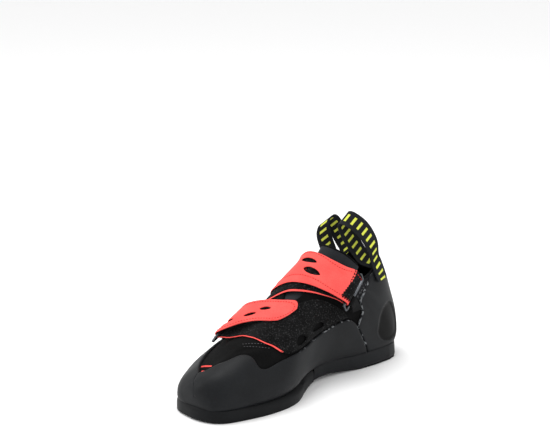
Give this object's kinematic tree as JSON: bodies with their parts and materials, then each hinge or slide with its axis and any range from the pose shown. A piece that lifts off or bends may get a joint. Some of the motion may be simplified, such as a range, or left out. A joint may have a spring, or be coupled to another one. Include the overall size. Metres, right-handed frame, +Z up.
{
  "type": "climbing shoe",
  "caption": "Low rock climbing shoe with a rubber toe rand and heel cup, two folded hook-and-loop straps, a tongue and webbing pull loops at the heel.",
  "frame": {"origin": "on the floor under the centre of the shoe's box", "axes": "-Y towards the toe, +X to the inner side of the foot, +Z up"},
  "size_m": [0.0858, 0.2342, 0.1285],
  "materials": {
    "black_upper": "brushed suede and knit, matt",
    "rubber": "satin moulded rubber",
    "coral_strap": "matt microfibre",
    "grey_fabric": "woven, matt",
    "wire": "satin",
    "black_webbing": "woven webbing"
  },
  "bodies": {
    "root": {"upper": "black_upper", "insole": "grey_fabric", "tongue": "grey_fabric", "front_rand": "rubber", "heel_rand": "rubber", "front_sole": "rubber", "heel_sole": "rubber", "lower_strap": "coral_strap", "upper_strap": "coral_strap", "lower_ring": "wire", "upper_ring": "wire", "lower_anchor": "black_webbing", "upper_anchor": "black_webbing", "inner_pull_loop": "black_webbing", "outer_pull_loop": "black_webbing"}
  },
  "joints": []
}
